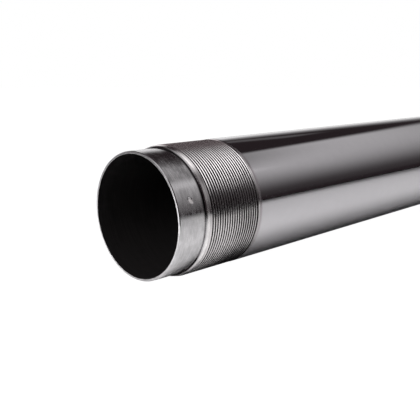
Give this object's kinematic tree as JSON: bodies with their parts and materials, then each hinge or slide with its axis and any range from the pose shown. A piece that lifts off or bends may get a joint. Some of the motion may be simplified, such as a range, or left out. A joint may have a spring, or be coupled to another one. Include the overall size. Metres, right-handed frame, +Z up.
{
  "type": "fork tube",
  "caption": "Chromed steel inner tube of an upside-down fork, with a thin turned spigot and a fine outside thread at one end and a straight through bore.",
  "frame": {"origin": "on the tube's axis, in the plane of the rim at the threaded end", "axes": "+X along the tube from the threaded end to the plain end, +Z up; the tube lies on its side, on a surface at z = -25 mm"},
  "size_m": [0.6, 0.0498, 0.05],
  "materials": {
    "chrome": "polished hard chrome outside, turned bright steel on the spigot and thread"
  },
  "bodies": {
    "root": {"fork_tube": "chrome"}
  },
  "joints": []
}
